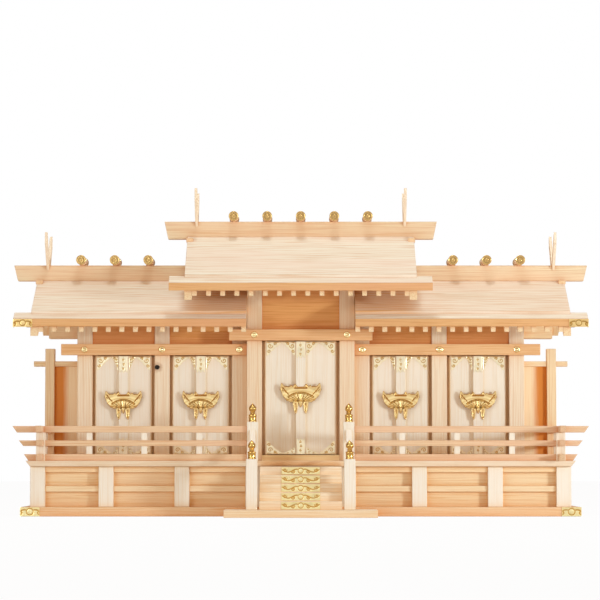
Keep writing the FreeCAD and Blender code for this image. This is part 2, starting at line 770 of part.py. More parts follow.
def railing():
    """Three rails on struts round the front and sides, crossing at the corner posts."""
    newel_outer = "(newel_place + newel_width / 2)"
    fronts, sides = [], []
    for level in ("low", "mid", "top"):
        low = f"({FLOOR_TOP} + {level}_rail_under)"
        high = f"({low} + {level}_rail_tall)"
        end, tip = f"({SIDE_RAIL_LINE} + {level}_rail_overhang)", f"({RAIL_LINE} + {level}_rail_overhang)"
        points = [(newel_outer, low), (f"{end} - rail_rake", low), (end, high), (newel_outer, high)]
        rail = prism(f"front_{level}_rail", "XZ_Plane", points, f"{RAIL_LINE} - rail_thick / 2", "rail_thick")
        fronts += [rail, mirrored(f"front_{level}_rail_twin", rail)]
        back = "screen_line - screen_post_width / 2"
        points = [(f"rail_rake - {tip}", low), (minus(tip), high), (back, high), (back, low)]
        side_rail = along_x(f"side_{level}_rail", points, (f"{SIDE_RAIL_LINE} - rail_thick / 2",
                                                           f"{SIDE_RAIL_LINE} + rail_thick / 2"))
        crossed = cut(f"side_{level}_crossed", side_rail, rail)
        sides += [crossed, mirrored(f"side_{level}_rail_twin", crossed)]
    fronts = keep("front_rails", fronts)
    sides = keep("side_rails", sides)
    keep("rail_struts", cut("rail_struts", group("strut_stock", strut_stock()), fronts, sides))


def strut_stock():
    """The struts and corner posts at their full height, before the rails are let in."""
    half, corner = "strut_width / 2", "corner_post_width / 2"
    y = (f"0 - {RAIL_LINE} - strut_thick / 2", f"strut_thick / 2 - {RAIL_LINE}")
    z = (FLOOR_TOP, f"{FLOOR_TOP} + top_rail_under")
    posts = []
    for number in range(3):
        x = f"(first_strut + {number} * strut_spacing)"
        posts += both_sides(f"strut_{number}", (f"{x} - {half}", f"{x} + {half}"), y, z)
    middle = f"((screen_line - {RAIL_LINE}) / 2)"
    side_x = (f"{SIDE_RAIL_LINE} - strut_thick / 2", f"{SIDE_RAIL_LINE} + strut_thick / 2")
    posts += both_sides("side_strut", side_x, (f"{middle} - {half}", f"{middle} + {half}"), z)
    posts += both_sides("corner_post", (f"{SIDE_RAIL_LINE} - {corner}", f"{SIDE_RAIL_LINE} + {corner}"),
                        (f"0 - {RAIL_LINE} - {corner}", f"{corner} - {RAIL_LINE}"), z)
    return posts


def side_screens():
    """A post, panel and cap rail beside each wing."""
    half = "screen_post_width / 2"
    post_x = (f"{SIDE_RAIL_LINE} - {half}", f"{SIDE_RAIL_LINE} + {half}")
    post_y = (f"screen_line - {half}", f"screen_line + {half}")
    post_z = (FLOOR_TOP, f"{FLOOR_TOP} + screen_post_tall")
    posts = keep("screen_posts", both_sides("screen_post", post_x, post_y, post_z))
    under = f"({FLOOR_TOP} + screen_cap_under)"
    caps = both_sides("screen_cap", (WING_OUTER, f"{SIDE_RAIL_LINE} + screen_cap_overhang"),
                      ("screen_line - screen_cap_thick / 2", "screen_line + screen_cap_thick / 2"),
                      (under, f"{under} + screen_cap_tall"))
    crossed = [cut(f"screen_cap_cut_{number}", cap, posts) for number, cap in enumerate(caps)]
    keep("screen_cap_rails", crossed)
    panel_y = ("screen_line - screen_panel_thick / 2", "screen_line + screen_panel_thick / 2")
    panel_x = (f"{WING_OUTER} - wall_setback", post_x[0])
    keep("screen_panels", both_sides("screen_panel", panel_x, panel_y, (FLOOR_TOP, under)))


def stair():
    """The landing board, the flight and the embossed plates on its risers."""
    y = (f"0 - {STAIR_FRONT} - stair_board_margin", "0 - base_reach")
    landing = box("landing", ("0 - stair_board_half", "stair_board_half"), y, ("0", "stair_board_thick"))
    keep("stair_board", landing)
    rise = f"(({BASE_TOP} - stair_board_thick) / steps_count)"
    points = [(minus("base_reach"), "stair_board_thick")]
    plates = []
    for number in range(round(sheet_value("steps_count"))):
        y = f"({number} * step_deep - {STAIR_FRONT})"
        low = f"(stair_board_thick + {number} * {rise})"
        high = f"({low} + {rise})"
        points += [(y, low), (y, high)]
        z = (f"{low} + riser_plate_margin", f"{high} - riser_plate_margin")
        plates.append(box(f"riser_plate_{number}", ("0 - riser_plate_half", "riser_plate_half"),
                          (f"{y} - plate_thick", y), z))
    points.append((minus("base_reach"), BASE_TOP))
    keep("stair_flight", along_x("flight", points, ("0 - stair_half", "stair_half")))
    keep("riser_plates", plates)


def newels():
    """Newels at the head and foot of the stair, their onion caps and the sloping handrails."""
    posts, onions = [], []
    half = "newel_width / 2"
    x = (f"newel_place - {half}", f"newel_place + {half}")
    low_foot = "stair_board_thick"
    for word, line, foot in (("upper", RAIL_LINE, FLOOR_TOP), ("lower", LOWER_NEWEL_LINE, low_foot)):
        top = f"({foot} + {word}_newel_tall)"
        posts += both_sides(f"{word}_newel", x, (f"0 - {line} - {half}", f"{half} - {line}"), (foot, top))
        cap = onion(f"{word}_onion", ("newel_place", f"0 - {line}", top))
        onions += [cap, mirrored(f"{word}_onion_twin", cap)]
    keep("stair_newels", posts)
    keep("newel_finials", onions)
    upper_face, lower_face = f"(0 - {RAIL_LINE} - {half})", f"({half} - {LOWER_NEWEL_LINE})"
    high = f"({FLOOR_TOP} + upper_newel_tall - handrail_drop)"
    low = f"({low_foot} + lower_newel_tall - handrail_drop)"
    points = [(lower_face, f"{low} - top_rail_tall"), (lower_face, low), (upper_face, high),
              (upper_face, f"{high} - top_rail_tall")]
    rail = along_x("handrail", points, ("newel_place - rail_thick / 2", "newel_place + rail_thick / 2"))
    keep("stair_handrails", [rail, mirrored("handrail_twin", rail)])


def onion(name, place):
    """A turned cap with a foot, a waist, a swelling belly and a point."""
    body = doc.addObject("PartDesign::Body", name)
    profile = [("0", "0"), ("onion_foot_radius", "0"), ("onion_foot_radius", "onion_foot_tall"),
               ("onion_neck_radius", "onion_neck_rise"), ("onion_radius", "onion_belly_rise"),
               ("onion_shoulder_radius", "onion_shoulder_rise"), ("0", "onion_tall")]
    sketch = outline(body, "XZ_Plane", name + "_profile", profile)
    turned = body.newObject("PartDesign::Revolution", name + "_turned")
    turned.Profile = sketch
    turned.ReferenceAxis = (sketch, ["V_Axis"])
    turned.Angle = 360
    place_at(body, *place)
    return body


base()
floor()
roofs()
bargeboards()
rafters()
ridges()
ridge_finials()
ridge_logs()
wall_frame()
tie_beams()
wall_boards()
doors()
railing()
side_screens()
stair()
newels()
doc.recompute()

faults = [thing.Name for thing in doc.Objects if "Invalid" in thing.State or "Error" in thing.State]
faults += [name for name, thing in parts.items() if thing.Shape.isNull() or not thing.Shape.isValid()]
if faults:
    raise SystemExit("These pieces failed: " + ", ".join(faults))
os.makedirs("parts", exist_ok=True)
for name, thing in parts.items():
    thing.Shape.exportStep(f"parts/{name}.step")
    print(name, len(thing.Shape.Solids), "solids", round(thing.Shape.Volume / 1000, 1), "cm3")
print(len(parts), "sub-parts")
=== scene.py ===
import math
import random

import bmesh
import bpy
import numpy as np
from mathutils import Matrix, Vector


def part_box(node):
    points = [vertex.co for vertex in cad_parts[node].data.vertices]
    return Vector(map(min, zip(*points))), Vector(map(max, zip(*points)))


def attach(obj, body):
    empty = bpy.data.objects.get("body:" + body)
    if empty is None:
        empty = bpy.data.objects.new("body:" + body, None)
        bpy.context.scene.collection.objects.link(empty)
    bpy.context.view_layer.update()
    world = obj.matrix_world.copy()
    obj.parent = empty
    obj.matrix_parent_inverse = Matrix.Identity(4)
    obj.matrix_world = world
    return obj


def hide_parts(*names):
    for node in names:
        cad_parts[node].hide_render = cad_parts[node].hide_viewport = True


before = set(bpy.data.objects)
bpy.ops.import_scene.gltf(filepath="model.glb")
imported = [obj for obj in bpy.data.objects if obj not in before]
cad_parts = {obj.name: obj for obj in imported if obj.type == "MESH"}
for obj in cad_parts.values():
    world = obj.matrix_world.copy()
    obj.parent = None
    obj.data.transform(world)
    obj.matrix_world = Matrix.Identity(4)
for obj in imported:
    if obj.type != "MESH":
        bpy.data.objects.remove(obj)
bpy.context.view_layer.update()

random.seed(11)


# ---- Base board ---------------------------------------------------------------------------
# The shrine stands on one thick board of planed cypress, cut from tan heartwood. Its edges
# are eased by hand, and the base posts are tenoned into it.

class Socket:
    """A shader output that arithmetic works on; each operation adds its Math node."""

    def __init__(self, finish, link):
        self.finish = finish
        self.link = link

    def maths(self, operation, first, second=0.0):
        return self.finish.maths(operation, first, second)

    def __add__(self, other):
        return self.maths("ADD", self, other)

    def __sub__(self, other):
        return self.maths("SUBTRACT", self, other)

    def __rsub__(self, other):
        return self.maths("SUBTRACT", other, self)

    def __mul__(self, other):
        return self.maths("MULTIPLY", self, other)

    def __pow__(self, other):
        return self.maths("POWER", self, other)

    __radd__ = __add__
    __rmul__ = __mul__

    def wave(self):
        """A sine that runs from 0 to 1."""
        return self.maths("SINE", self) * 0.5 + 0.5

    def above(self, level, softness):
        """0 below a level and 1 above it, with a soft step between."""
        settings = {"interpolation_type": "SMOOTHSTEP"}
        sockets = {0: self, 1: level - softness, 2: level + softness}
        return self.finish.node("ShaderNodeMapRange", settings, sockets)


class Finish:
    """The shader of a material, or of the studio's light, under construction."""

    def __init__(self, owner):
        self.owner = owner
        owner.use_nodes = True
        self.tree = owner.node_tree
        self.tree.nodes.clear()

    def node(self, kind, settings, sockets, output=0):
        made = self.tree.nodes.new(kind)
        for key, value in settings.items():
            setattr(made, key, value)
        for key, value in sockets.items():
            if isinstance(value, Socket):
                self.tree.links.new(value.link, made.inputs[key])
            else:
                made.inputs[key].default_value = value
        return Socket(self, made.outputs[output]) if made.outputs else None

    def maths(self, operation, first, second=0.0):
        return self.node("ShaderNodeMath", {"operation": operation}, {0: first, 1: second})

    def marked(self, name, output="Fac"):
        """What the mesh says at each point, such as the direction of its grain."""
        return self.node("ShaderNodeAttribute", {"attribute_name": name}, {}, output)

    def blend(self, share, first, second):
        """One colour fading into another."""
        return self.node("ShaderNodeMix", {"data_type": "RGBA"}, {0: share, 6: first, 7: second}, 2)

    def vector(self, operation, first, second=(0, 0, 0), output=0):
        return self.node("ShaderNodeVectorMath", {"operation": operation}, {0: first, 1: second}, output)

    def noise(self, place, stretch, detail=2.0):
        """Noise with its own fineness along each axis."""
        scaled = self.vector("MULTIPLY", place, stretch)
        return self.node("ShaderNodeTexNoise", {}, {"Vector": scaled, "Scale": 1.0, "Detail": detail})

    def part(self, vector, axis):
        return self.node("ShaderNodeSeparateXYZ", {}, {0: vector}, axis)

    def place(self):
        """Where a point lies in the shrine, in metres."""
        return self.node("ShaderNodeTexCoord", {}, {}, "Object")

    def from_middle(self):
        """How far a point lies to either side of the shrine's middle."""
        return self.maths("ABSOLUTE", self.part(self.place(), 0))

    def bump(self, height, strength, distance):
        sockets = {"Height": height, "Strength": strength, "Distance": distance}
        return self.node("ShaderNodeBump", {}, sockets)

    def surface(self, sockets):
        shader = self.node("ShaderNodeBsdfPrincipled", {}, sockets)
        self.node("ShaderNodeOutputMaterial", {}, {"Surface": shader})
        return self.owner


def planed_wood(name, pale, deep, rosy, spacing=2.3, knot=None, post_shadow_beyond=None, shaded_within=None, crease_shade=0.85):
    """Straight-grained cypress: growth rings, fibres, a rosy cast and handled edges. The rings'
    spacing is in mm and knot is a place. The next two arguments are distances from the middle of the
    shrine: beyond the first a post's painted shadow deepens the colour, within the second a roof's
    painted shadow does. The last says how much painted shade darkens close corners and creases."""
    made = Finish(bpy.data.materials.new(name))
    grain, tone, wear = made.marked("grain", "Vector"), made.marked("tone"), made.marked("wear")
    wander = made.noise(grain, (0.006, 0.035, 0.035), 2)
    across = made.part(grain, 1) * 0.92 + made.part(grain, 2) * 0.5
    rings = (across * (2 * math.pi / spacing) + wander * 22).wave() ** 2
    fibres = made.noise(grain, (0.05, 2.4, 2.4), 4)
    streaks = made.noise(grain, (0.012, 0.45, 0.45), 3)
    blush = made.noise(grain, (0.004, 0.022, 0.022), 1).above(0.52, 0.16)
    figure = rings * 0.36 + fibres * 0.34 + streaks.above(0.54, 0.08) * 0.46 + tone * 0.24 - 0.28
    colour = made.blend(figure, (*pale, 1), (*deep, 1))
    colour = made.blend(blush * 0.45, colour, (*rosy, 1))
    colour = made.blend(wear * 0.35, colour, (*[value * 0.72 for value in deep], 1))
    # Painted shade: where ambient occlusion finds close corners and creases, the colour is blended towards
    # a deeper amber.
    open_air = made.node("ShaderNodeAmbientOcclusion", {"samples": 6}, {"Distance": 0.026}, "AO")
    crease_shade_colour = [value ** power for value, power in zip(deep, (1.2, 1.9, 2.6))]
    colour = made.blend((1 - open_air) * crease_shade, colour, (*crease_shade_colour, 1))
    rough = 0.5 + fibres * 0.16 - wear * 0.1
    height = fibres * 0.5 + rings * 0.35 + streaks * 0.3
    if post_shadow_beyond:
        # Painted shadow of the screen post: beyond the given distance from the middle, the panel turns deep
        # orange.
        edge = made.from_middle() + made.noise(grain, (0.02, 0.3, 0.3), 2) * 0.006
        colour = made.blend(edge.above(post_shadow_beyond, 0.007), colour, (0.72, 0.26, 0.05, 1))
    if shaded_within:
        # Painted shadow of the centre's eaves: within the given distance from the middle, the wing roof
        # turns deeper orange.
        inward = 1 - made.from_middle().above(shaded_within, 0.022)
        colour = made.blend(inward * (0.5 + rings * 0.3), colour, (0.76, 0.38, 0.14, 1))
    if knot:
        place = made.place()
        squeezed = made.vector("MULTIPLY", made.vector("SUBTRACT", place, knot), (215, 80, 235))
        far = made.vector("LENGTH", squeezed, output="Value")
        ragged = far + made.noise(place, (420, 420, 420), 3) * 0.9 - 0.45
        dead, halo = 1 - ragged.above(0.86, 0.12), 1 - ragged.above(1.7, 0.7)
        colour = made.blend(halo * 0.5, colour, (0.42, 0.2, 0.08, 1))
        colour = made.blend(dead, colour, (0.012, 0.008, 0.006, 1))
        height = height - dead * 1.5 + (ragged * 14).wave() * halo * 0.4
    return made.surface({"Base Color": colour, "Roughness": rough, "Specular IOR Level": 0.3,
                         "Normal": made.bump(height, 0.35, 0.0002)})


def settle(name, mesh, finishes, body, replaced=(), sharp=0.35):
    """Make mesh data a piece of the shrine that rides on a body."""
    for finish in finishes:
        mesh.materials.append(finish)
    mesh.polygons.foreach_set("use_smooth", [True] * len(mesh.polygons))
    mesh.set_sharp_from_angle(angle=sharp)
    piece = bpy.data.objects.new(name, mesh)
    bpy.context.collection.objects.link(piece)
    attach(piece, body)
    if replaced:
        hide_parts(*replaced)


def boards_of(mesh):
    """The separate boards of a mesh, each as a list of its corners, in a fixed order."""
    met = set()
    for first in mesh.verts:
        board, edge = [], [] if first in met else [first]
        met.add(first)
        while edge:
            corner = edge.pop()
            board.append(corner)
            near = {link.other_vert(corner) for link in corner.link_edges} - met
            met |= near
            edge += near
        if board:
            yield board


def worked(mesh, name, finishes, body, eased, lie=None, replaced=()):
    """Boards with eased edges, each with its own grain and tone. A second finish is for tops."""
    grain = mesh.verts.layers.float_vector.new("grain")
    tone, wear = mesh.faces.layers.float.new("tone"), mesh.faces.layers.float.new("wear")
    corners = [edge for edge in mesh.edges if len(edge.link_faces) == 2 and edge.calc_face_angle() > 0.4]
    rounded = bmesh.ops.bevel(mesh, geom=corners, offset=eased, segments=2, profile=0.5,
                              affect="EDGES", clamp_overlap=True)["faces"]
    for face in rounded:
        face[wear] = 1
    for board in boards_of(mesh):
        low = [min(corner.co[axis] for corner in board) for axis in range(3)]
        high = [max(corner.co[axis] for corner in board) for axis in range(3)]
        order = sorted(range(3), key=lambda axis: low[axis] - high[axis])
        shift = Vector([random.uniform(-400, 400) for _ in range(3)])
        shade = random.random()
        for corner in board:
            place = lie(corner.co) if lie else [corner.co[axis] for axis in order]
            corner[grain] = Vector(place) * 1000 + shift
            for face in corner.link_faces:
                face[tone] = shade
                face.material_index = int(len(finishes) > 1 and face.normal.z > 0.6)
    data = bpy.data.meshes.new(name)
    mesh.to_mesh(data)
    mesh.free()
    settle(name, data, finishes, body, replaced)


def timber(node, finish, body="root", eased=0.0005, lie=None, top=None):
    """The node's solids as planed timber."""
    mesh = bmesh.new()
    mesh.from_mesh(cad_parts[node].data)
    bmesh.ops.remove_doubles(mesh, verts=mesh.verts, dist=2e-6)
    bmesh.ops.dissolve_limit(mesh, angle_limit=0.02, verts=mesh.verts, edges=mesh.edges)
    finishes = [finish, top] if top else [finish]
    worked(mesh, node + "_wood", finishes, body, eased, lie, (node,))


tan_wood = planed_wood("tan_cypress", (0.92, 0.76, 0.54), (0.76, 0.45, 0.22), (0.89, 0.60, 0.41))
timber("base_board", tan_wood, eased=0.0008)


# ---- Gilt plates round the corners of the base board --------------------------------------
# Thin brass sheet stamped from behind with a running scroll, gilded, bent round each corner
# and pinned. The ground of the pattern is punched with fine dots and has darkened.

def gilt(name, bright, patina, rough):
    """Gilded brass: bright where the stamped pattern stands up, brown in the ground."""
    made = Finish(bpy.data.materials.new(name))
    relief, place = made.marked("relief"), made.place()
    cloud = made.noise(place, (90, 90, 90), 3)
    scratch = made.noise(place, (2600, 500, 500), 2)
    dots = made.node("ShaderNodeTexVoronoi", {}, {"Vector": place, "Scale": 1500.0}, "Distance")
    raised = relief.above(0.42, 0.3)
    colour = made.blend(raised, (*patina, 1), (*bright, 1))
    colour = made.blend(cloud.above(0.58, 0.14) * 0.3, colour, (*[value * 0.6 for value in bright], 1))
    height = scratch * 0.25 + (1 - dots) * (1 - raised) * 0.7
    return made.surface({"Base Color": colour, "Metallic": 1.0,
                         "Roughness": rough + cloud * 0.16 + (1 - raised) * 0.14,
                         "Normal": made.bump(height, 0.3, 0.0002)})


def tendril(x, y, size, start, turns, hand):
    """The points of one curl of a scroll, from its stem inwards."""
    step = np.linspace(0, 1, 36)
    angle = start + hand * turns * 2 * math.pi * step
    radius = size * (1 - 0.86 * step)
    return np.stack([x + radius * np.cos(angle), y + radius * np.sin(angle)], 1)


def stem(x, y):
    """The points of a plain line."""
    return np.stack([np.asarray(x, float), np.asarray(y, float)], 1)


def raised_lines(x, y, lines, width):
    """How far a pattern of lines stands up at each place, from 0 to 1."""
    points = np.concatenate(lines)
    gap = np.full(x.shape, 1e9)
    for start in range(0, len(points), 64):
        some = points[start:start + 64]
        away = (x[..., None] - some[:, 0]) ** 2 + (y[..., None] - some[:, 1]) ** 2
        gap = np.minimum(gap, away.min(-1))
    return np.exp(-gap / width ** 2)


def petals(x, y, at, size, count):
    """A small flower of rounded petals."""
    across, up = x - at[0], y - at[1]
    far, angle = np.hypot(across, up), np.arctan2(up, across)
    edge = size * (0.72 + 0.28 * np.abs(np.cos(angle * count / 2)))
    return np.clip(1.2 - (far / edge) ** 2, 0, 1) * (0.35 + 0.65 * np.clip(far / (size * 0.4), 0, 1))


def ring(x, y, size):
    """A raised ring round the middle of a pattern."""
    return np.exp(-((np.hypot(x, y) - size) / (size * 0.16)) ** 2)


def running_scroll(x, y, length, tall):
    """An engraved wave with a curl in each bend, and a flower in a ring, in a beaded rim."""
    bend = tall * 1.15
    count = max(1, round(length / 2 / bend))
    lines = []
    for side in (-1, 1):
        steps = np.linspace(tall * 0.45, length / 2 - tall * 0.1, 60)
        lines.append(stem(side * steps, tall * 0.2 * np.sin(steps / bend * math.pi)))
        for number in range(count):
            middle = tall * 0.5 + (number + 0.45) * bend
            hand = side if number % 2 else -side
            up = tall * (0.1 if number % 2 else -0.1)
            lines.append(tendril(side * middle, up, tall * 0.27, math.pi / 2 * (1 + hand), 1.15, hand))
    edge = np.minimum(length / 2 - np.abs(x), tall / 2 - np.abs(y))
    bead = 0.75 + 0.25 * np.cos(x * 4) * np.cos(y * 4)
    rim = np.exp(-((edge - 0.4) / 0.4) ** 2) * bead
    sunk = np.maximum(raised_lines(x, y, lines, tall * 0.075), ring(x, y, tall * 0.36))
    leaf = np.maximum(petals(x, y, (0, 0), tall * 0.3, 6), rim)
    return np.clip(np.maximum(0.72 - 0.72 * sunk, leaf), 0, 1)


def stamped(name, finish, body, places, patterns, columns, rows, thick, depth, replaced=()):
    """One or more thin plates with a raised pattern. A place(u, v) gives the back of a plate and
    the way that it faces; a pattern(u, v) says how far it stands up there, from 0 to 1."""
    spots, faces, marks = [], [], []
    for put, pattern in zip(places, patterns):
        first = len(spots)
        u, v = np.meshgrid(np.linspace(0, 1, columns + 1), np.linspace(0, 1, rows + 1), indexing="ij")
        back, out = put(u, v)
        up = pattern(u, v)
        front = back + out * (thick + depth * up)[..., None]
        spots += front.reshape(-1, 3).tolist()
        marks += up.reshape(-1).tolist()
        low, high = first + len(front) * (rows + 1), first + len(front) * (rows + 2)
        spots += back[:, 0].tolist() + back[:, -1].tolist()
        marks += [0.0] * (2 * (columns + 1))

        def at(column, row):
            return first + column * (rows + 1) + row
        for column in range(columns):
            after = column + 1
            for row in range(rows):
                faces.append((at(column, row), at(after, row), at(after, row + 1), at(column, row + 1)))
            faces.append((at(column + 1, 0), at(column, 0), low + column, low + column + 1))
            faces.append((at(column, rows), at(column + 1, rows), high + column + 1, high + column))
            faces.append((low + column + 1, low + column, high + column, high + column + 1))
        faces.append([at(0, row) for row in range(rows + 1)] + [high, low])
        faces.append([at(columns, row) for row in range(rows, -1, -1)] + [low + columns, high + columns])
    data = bpy.data.meshes.new(name)
    data.from_pydata(spots, [], faces)
    data.attributes.new("relief", "FLOAT", "POINT").data.foreach_set("value", marks)
    check = bmesh.new()
    check.from_mesh(data)
    bmesh.ops.recalc_face_normals(check, faces=check.faces)
    check.to_mesh(data)
    check.free()
    settle(name, data, [finish], body, replaced, sharp=0.9)


def round_corner(x_edge, y_edge, long, low, high):
    """Places on a sheet bent round an upright corner: front first, then the side."""
    bend = 0.0012
    side, rear = math.copysign(1, x_edge), math.copysign(1, y_edge)

    def place(u, v):
        run = (u * 2 - 1) * long
        ahead, around = np.minimum(run, 0), np.maximum(run, 0)
        x, y = x_edge + side * ahead, y_edge - rear * around
        back = np.stack([x, y, low + (high - low) * v], -1)
        facing = np.clip(run / bend * 0.5 + 0.5, 0, 1) * math.pi / 2
        out = np.stack([side * np.sin(facing), rear * np.cos(facing), 0 * u], -1)
        return back, out
    return place


def corner_pattern(long, tall):
    """The same scroll on both arms of a bent plate."""
    def relief(u, v):
        run = np.abs(u * 2 - 1) * long * 1000 - long * 500
        return running_scroll(run, (v - 0.5) * tall * 1000, long * 1000, tall * 1000)
    return relief


gold = gilt("gilded_brass", (1.0, 0.89, 0.50), (0.58, 0.30, 0.05), 0.22)
low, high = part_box("base_board")
corner_arm, board_thick = 0.03, 0.0145
places = [round_corner(x, y, corner_arm, low.z + 0.0003, high.z - 0.0003)
          for x in (low.x, high.x) for y in (low.y, high.y)]
stamped("base_corner_plates_stamped", gold, "root", places, [corner_pattern(corner_arm, board_thick)] * 4,
        96, 22, 0.0003, 0.0005, ("base_corner_plates",))


# ---- Posts, rails and panels of the base --------------------------------------------------
# Square posts of pale sapwood carry the floor. Between them run a top rail and a middle rail
# in front of thin panels, let into the posts at their ends.

pale_wood = planed_wood("pale_cypress", (0.96, 0.87, 0.75), (0.85, 0.66, 0.47), (0.95, 0.79, 0.68))
white_wood = planed_wood("white_cypress", (0.96, 0.94, 0.92), (0.88, 0.79, 0.69), (0.95, 0.88, 0.85))
warm_wood = planed_wood("warm_cypress", (0.96, 0.83, 0.62), (0.82, 0.56, 0.32), (0.93, 0.71, 0.51))
timber("base_posts", white_wood, eased=0.0007)
timber("base_rails", warm_wood)
timber("base_panels", warm_wood, eased=0.0002)


# ---- Floor board --------------------------------------------------------------------------
# A single board with its edges planed to a long slope underneath, laid on the base posts.

timber("floor_board", pale_wood, eased=0.0007)


# ---- Stair --------------------------------------------------------------------------------
# A landing board on the ground, a flight of five steps glued up from solid stock, and the
# plates of stamped brass that are pinned to the risers.

timber("stair_board", pale_wood, eased=0.0007)
timber("stair_flight", pale_wood, eased=0.0004)
plates_low, plates_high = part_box("riser_plates")
flight_low, flight_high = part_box("stair_flight")
count, plate_thick = 5, 0.0008
step_deep = (plates_high.y - plates_low.y - plate_thick) / (count - 1)
rise = (flight_high.z - flight_low.z) / count
plate_tall = plates_high.z - plates_low.z - rise * (count - 1)


def facing_front(x, face, z):
    """Places on a flat sheet that faces the front."""
    return np.stack([x, face + 0 * x, z], -1), np.stack([0 * x, 0 * x - 1, 0 * x], -1)


def riser_place(number):
    """The face of one step, counted from the ground."""
    face = plates_low.y + plate_thick + number * step_deep
    foot = plates_low.z + number * rise
    return lambda u, v: facing_front(plates_low.x + (plates_high.x - plates_low.x) * u, face,
                                     foot + plate_tall * v)


def riser_relief(u, v):
    wide, tall = 59, plate_tall * 1000
    return running_scroll((u - 0.5) * wide, (v - 0.5) * tall, wide, tall)


stamped("riser_plates_stamped", gold, "root", [riser_place(number) for number in range(count)],
        [riser_relief] * count, 150, 30, 0.0002, 0.0006, ("riser_plates",))


# ---- Newels, handrails and their onion caps -----------------------------------------------
# Square newels at the head and foot of the stair, with a sloping rail between each pair. Each
# has a turned brass cap with a sleeve, a ringed neck and an onion-shaped knob.

def turned(shell, profile, at, axis, sides, fluting=0):
    """Turn a profile of (radius, rise, depth of fluting) round an axis through a point."""
    relief = shell.verts.layers.float.get("relief") or shell.verts.layers.float.new("relief")
    axis = Vector(axis)
    across = axis.orthogonal().normalized()
    beside = axis.cross(across)
    tallest = max(depth for _, _, depth in profile) or 1
    rings = []
    for radius, rise, depth in profile:
        circle = []
        for step in range(sides if radius > 1e-6 else 1):
            angle = step * 2 * math.pi / sides
            flute = depth * abs(math.cos(angle * fluting / 2))
            outward = across * math.cos(angle) + beside * math.sin(angle)
            corner = shell.verts.new(Vector(at) + axis * (rise + flute) + outward * radius)
            corner[relief] = 1 - depth / tallest + flute / tallest if fluting else 1.0
            circle.append(corner)
        rings.append(circle)
    for one, two in zip(rings, rings[1:]):
        for step in range(sides):
            after = (step + 1) % sides
            around = [one[step % len(one)], one[after % len(one)],
                      two[after % len(two)], two[step % len(two)]]
            shell.faces.new(list(dict.fromkeys(around)))


def finished(shell, name, finish, body, replaced, sharp=0.6):
    """Make turned work a piece of the shrine."""
    bmesh.ops.recalc_face_normals(shell, faces=shell.faces)
    data = bpy.data.meshes.new(name)
    shell.to_mesh(data)
    shell.free()
    settle(name, data, [finish], body, replaced, sharp)


def leaning(node):
    """Grain along the slope of a pair of sloping bars in the y-z plane."""
    low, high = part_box(node)
    slope = math.atan2(high.z - low.z, high.y - low.y)
    return lambda spot: (spot.y * math.cos(slope) + spot.z * math.sin(slope),
                         spot.z * math.cos(slope) - spot.y * math.sin(slope), spot.x)


timber("stair_newels", white_wood, eased=0.0007)
timber("stair_handrails", white_wood, lie=leaning("stair_handrails"))
cap_profile = [(0, 0), (5.9, 0), (6.4, 0.3), (6.4, 1.3), (6.0, 1.7), (5.8, 2.2), (5.8, 8.6), (6.0, 9.1),
               (6.4, 9.4), (6.4, 10.6), (5.9, 11.0), (4.3, 11.6), (3.7, 12.4), (3.6, 13.0), (4.3, 13.4),
               (4.5, 13.9), (4.2, 14.4), (3.5, 14.8), (3.4, 15.5), (4.2, 16.2), (5.2, 17.4), (5.8, 19.0),
               (5.9, 20.4), (5.6, 22.0), (4.9, 23.6), (3.7, 25.2), (2.3, 26.6), (1.2, 27.6), (0.5, 28.5),
               (0, 29.0)]
cap_profile = [(radius / 1000, rise / 1000, 0) for radius, rise in cap_profile]
cap_tall = 0.029
polished = gilt("polished_brass", (0.66, 0.41, 0.13), (0.3, 0.13, 0.03), 0.12)
shell = bmesh.new()
low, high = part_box("newel_finials")
newel_low, newel_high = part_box("stair_newels")
half = 0.0085
for x in (newel_low.x + half, newel_high.x - half):
    for y, foot in ((newel_low.y + half, low.z), (newel_high.y - half, high.z - cap_tall)):
        turned(shell, cap_profile, (x, y, foot), (0, 0, 1), 36)
finished(shell, "newel_caps_turned", polished, "root", ("newel_finials",))


# ---- Railing ------------------------------------------------------------------------------
# Three rails run round the front and sides on short struts and cross beyond the corner posts,
# each end cut to a rake. They are halved over one another and glued.

rail_wood = planed_wood("rail_cypress", (0.84, 0.64, 0.46), (0.72, 0.44, 0.26), (0.86, 0.56, 0.42))
timber("front_rails", rail_wood)
timber("side_rails", rail_wood)
timber("rail_struts", white_wood, eased=0.0003)


# ---- Side screens -------------------------------------------------------------------------
# Beside each wing a post carries a short rail and a thin panel that closes the gallery. The panel
# beside the post has the post's shadow painted on it as a deep orange band.

timber("screen_posts", warm_wood, eased=0.0007)
timber("screen_cap_rails", warm_wood)
post_shadowed = planed_wood("post_shadowed_cypress", (0.98, 0.85, 0.66), (0.90, 0.68, 0.45), (0.97, 0.77, 0.58),
                      post_shadow_beyond=0.379, crease_shade=0.3)
timber("screen_panels", post_shadowed, eased=0.0002)


# ---- Posts of the rooms -------------------------------------------------------------------
# Square posts from the floor to the wall plates. The left wing's middle post has a dead, black
# knot near its top, with the fibres bent round it.

knotted = planed_wood("knotted_cypress", (0.96, 0.87, 0.75), (0.84, 0.65, 0.47), (0.94, 0.78, 0.68),
                      knot=(-0.2273, -0.035, 0.2336))
post_wood = planed_wood("post_cypress", (0.94, 0.81, 0.66), (0.82, 0.59, 0.39), (0.93, 0.74, 0.61))
timber("wing_posts", knotted, eased=0.0008)
timber("centre_posts", post_wood, eased=0.0008)


# ---- Wall plates, tie beams and their studs -----------------------------------------------
# Wall plates lie along the heads of the posts under the rafters. Tie beams cross the faces of
# the posts over the doorways, each crossing covered by a domed brass stud.

